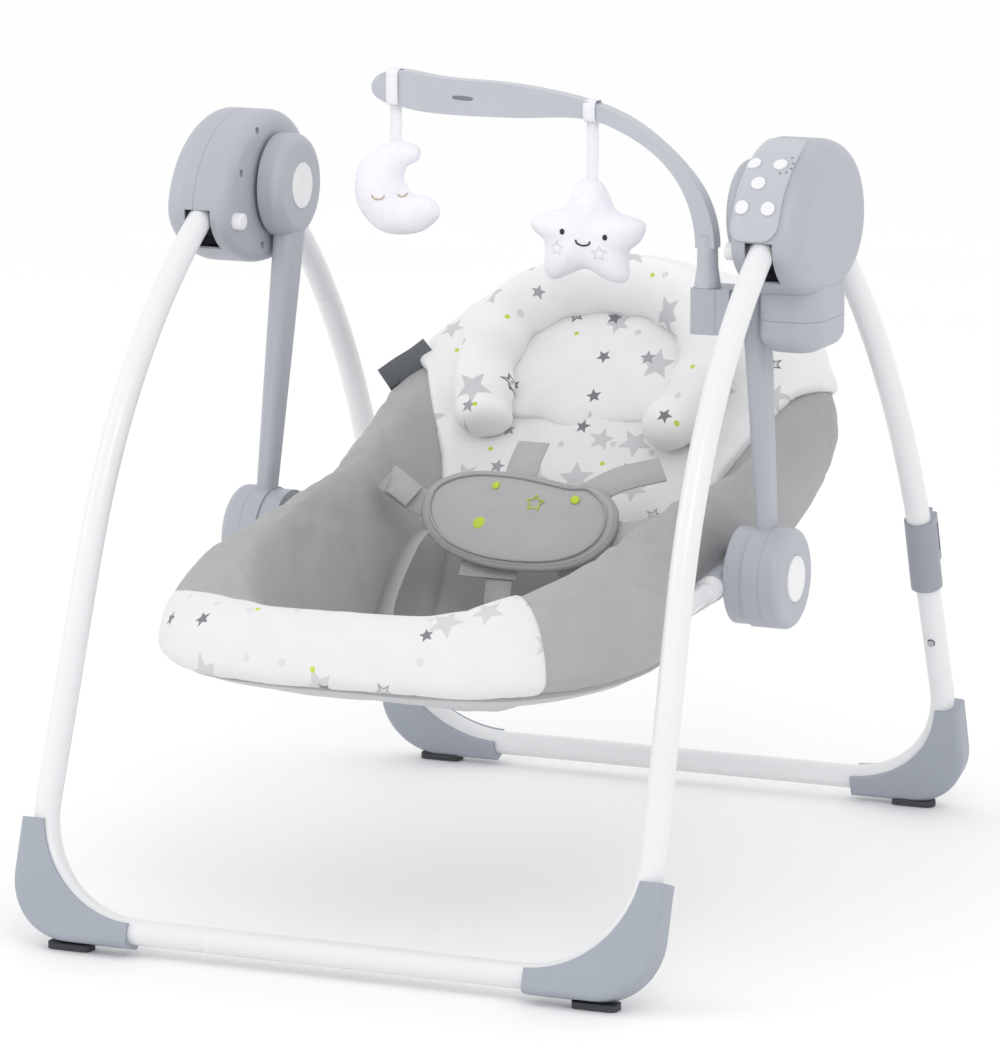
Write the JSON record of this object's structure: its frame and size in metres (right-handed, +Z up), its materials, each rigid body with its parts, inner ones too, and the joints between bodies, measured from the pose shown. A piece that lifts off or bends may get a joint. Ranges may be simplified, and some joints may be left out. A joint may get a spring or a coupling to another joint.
{
  "type": "baby swing",
  "caption": "Folding floor-standing baby swing with a reclining padded seat between two powered arms, a harness and a toy bar.",
  "frame": {"origin": "on the floor, in the middle of the footprint", "axes": "+X across the swing to the side with the controls, -Y towards the baby's feet, +Z up"},
  "size_m": [0.676, 0.9181, 0.8082],
  "materials": {
    "housing_plastic": "satin moulded, blue-grey",
    "panel_plastic": "satin moulded, pale blue-grey",
    "foot_plastic": "satin moulded, blue-grey",
    "clamp_plastic": "satin moulded, blue-grey",
    "knuckle_plastic": "glass-filled, dark",
    "white_plastic": "soft gloss, white",
    "white_powder_coat": "gloss powder coat, white",
    "foot_rubber": "matt, dark",
    "steel": "zinc plated",
    "bush_plastic": "natural acetal",
    "magnet": "moulded lever with a magnet in its foot",
    "copper_coil": "enamelled winding",
    "board": "solder resist, green",
    "speaker_case": "matt, black",
    "cell_sleeve": "printed sleeve, plain dark",
    "contact_metal": "nickel plated",
    "star_cotton": "white cotton with a print of grey stars",
    "grey_velour": "short-pile velour, grey",
    "white_cotton": "brushed cotton, white with a print of grey stars",
    "grey_webbing": "woven webbing, grey",
    "toy_plush": "short plush, white"
  },
  "bodies": {
    "housings": {"housing_inner_shell_left": "housing_plastic", "housing_outer_shell_left": "housing_plastic", "housing_inner_shell_right": "housing_plastic", "housing_outer_shell_right": "housing_plastic", "case_screws": "steel", "leg_hinge_pins": "steel", "control_panel": "panel_plastic", "circuit_board": "board", "speaker": "speaker_case", "drive_coil": "copper_coil", "pivot_bushes": "bush_plastic", "battery_case": "housing_plastic", "battery_door": "housing_plastic", "battery_cells": "cell_sleeve", "battery_contacts": "contact_metal"},
    "front_legs": {"front_leg_tubes": "white_powder_coat", "front_base_tube": "white_powder_coat", "front_feet": "foot_plastic", "front_foot_pads": "foot_rubber", "front_leg_knuckles": "knuckle_plastic"},
    "rear_legs": {"rear_leg_tubes": "white_powder_coat", "rear_base_tube": "white_powder_coat", "rear_feet": "foot_plastic", "rear_foot_pads": "foot_rubber", "rear_leg_knuckles": "knuckle_plastic", "latch_clamp": "clamp_plastic"},
    "swing_arms": {"swing_arm_left": "housing_plastic", "swing_arm_right": "housing_plastic", "pivot_caps": "white_plastic", "pivot_shafts": "steel", "drive_magnet": "magnet", "recline_covers": "housing_plastic", "toy_bar_socket": "housing_plastic"},
    "seat": {"recline_plates": "housing_plastic", "seat_tube_front": "white_powder_coat", "seat_tube_back": "white_powder_coat", "seat_tube_collars": "white_plastic", "seat_cushion": "star_cotton", "back_cushion": "star_cotton", "side_wings": "grey_velour", "head_pillow": "white_cotton", "harness_straps": "grey_webbing", "harness_pad": "grey_velour"},
    "toy_bar": {"toy_bar": "panel_plastic"},
    "moon_toy": {"moon_toy": "toy_plush"},
    "star_toy": {"star_toy": "toy_plush"},
    "storage_hook": {"storage_hook": "clamp_plastic"},
    "front_snap_buttons": {"front_snap_buttons": "steel"},
    "rear_snap_buttons": {"rear_snap_buttons": "steel"},
    "volume_button": {"volume_button": "white_plastic"},
    "speed_button": {"speed_button": "white_plastic"},
    "power_button": {"power_button": "white_plastic"},
    "music_button": {"music_button": "white_plastic"},
    "timer_button": {"timer_button": "white_plastic"},
    "recline_button_left": {"recline_button_left": "white_plastic"},
    "front_leg_lock_left": {"front_leg_lock_left": "white_plastic"},
    "rear_leg_lock_left": {"rear_leg_lock_left": "white_plastic"},
    "recline_button_right": {"recline_button_right": "white_plastic"},
    "front_leg_lock_right": {"front_leg_lock_right": "white_plastic"},
    "rear_leg_lock_right": {"rear_leg_lock_right": "white_plastic"}
  },
  "joints": [
    {"name": "front_fold", "type": "hinge", "parent": "housings", "child": "front_legs", "pos_m": [0, -0.0565, 0.68], "axis": [1, 0, 0], "range_deg": [0, 24]},
    {"name": "rear_fold", "type": "hinge", "parent": "housings", "child": "rear_legs", "pos_m": [0, 0.0685, 0.675], "axis": [1, 0, 0], "range_deg": [-28, 0]},
    {"name": "swing", "type": "hinge", "parent": "housings", "child": "swing_arms", "pos_m": [0, 0.0135, 0.683], "axis": [1, 0, 0], "range_deg": [-18, 18]},
    {"name": "recline", "type": "hinge", "parent": "swing_arms", "child": "seat", "pos_m": [0, -0.0015, 0.326], "axis": [1, 0, 0], "range_deg": [-8, 12]},
    {"name": "toy_bar_swivel", "type": "hinge", "parent": "swing_arms", "child": "toy_bar", "pos_m": [0.213, -0.0175, 0.611], "axis": [0, 0, 1], "range_deg": [0, 90]},
    {"name": "moon_hang", "type": "hinge", "parent": "toy_bar", "child": "moon_toy", "pos_m": [-0.112, -0.0175, 0.7664], "axis": [1, 0, 0], "range_deg": [-30, 30]},
    {"name": "star_hang", "type": "hinge", "parent": "toy_bar", "child": "star_toy", "pos_m": [0.093, -0.0175, 0.7664], "axis": [1, 0, 0], "range_deg": [-30, 30]},
    {"name": "storage_hook_turn", "type": "hinge", "parent": "rear_legs", "child": "storage_hook", "pos_m": [0.3089, 0.3757, 0.2965], "axis": [0, -0.3134, 0.9496], "range_deg": [0, 90]},
    {"name": "front_snap_press", "type": "slide", "parent": "front_legs", "child": "front_snap_buttons", "axis": [0, -0.9453, 0.3261], "range_m": [0, 0.003], "stiffness_N_per_m": 1500},
    {"name": "rear_snap_press", "type": "slide", "parent": "rear_legs", "child": "rear_snap_buttons", "axis": [0, 0.9496, 0.3134], "range_m": [0, 0.003], "stiffness_N_per_m": 1500},
    {"name": "volume_press", "type": "slide", "parent": "housings", "child": "volume_button", "axis": [0, 0.6157, -0.788], "range_m": [0, 0.0012], "stiffness_N_per_m": 1200},
    {"name": "speed_press", "type": "slide", "parent": "housings", "child": "speed_button", "axis": [0, 0.6157, -0.788], "range_m": [0, 0.0012], "stiffness_N_per_m": 1200},
    {"name": "power_press", "type": "slide", "parent": "housings", "child": "power_button", "axis": [0, 0.766, -0.6428], "range_m": [0, 0.0012], "stiffness_N_per_m": 1200},
    {"name": "music_press", "type": "slide", "parent": "housings", "child": "music_button", "axis": [0, 0.9397, -0.342], "range_m": [0, 0.0012], "stiffness_N_per_m": 1200},
    {"name": "timer_press", "type": "slide", "parent": "housings", "child": "timer_button", "axis": [0, 0.9397, -0.342], "range_m": [0, 0.0012], "stiffness_N_per_m": 1200},
    {"name": "recline_press_left", "type": "slide", "parent": "swing_arms", "child": "recline_button_left", "axis": [1, 0, 0], "range_m": [0, 0.005], "stiffness_N_per_m": 1200},
    {"name": "front_lock_press_left", "type": "slide", "parent": "housings", "child": "front_leg_lock_left", "axis": [-1, 0, 0], "range_m": [0, 0.0028], "stiffness_N_per_m": 1500},
    {"name": "rear_lock_press_left", "type": "slide", "parent": "housings", "child": "rear_leg_lock_left", "axis": [-1, 0, 0], "range_m": [0, 0.0028], "stiffness_N_per_m": 1500},
    {"name": "recline_press_right", "type": "slide", "parent": "swing_arms", "child": "recline_button_right", "axis": [-1, 0, 0], "range_m": [0, 0.005], "stiffness_N_per_m": 1200},
    {"name": "front_lock_press_right", "type": "slide", "parent": "housings", "child": "front_leg_lock_right", "axis": [1, 0, 0], "range_m": [0, 0.0028], "stiffness_N_per_m": 1500},
    {"name": "rear_lock_press_right", "type": "slide", "parent": "housings", "child": "rear_leg_lock_right", "axis": [1, 0, 0], "range_m": [0, 0.0028], "stiffness_N_per_m": 1500}
  ]
}
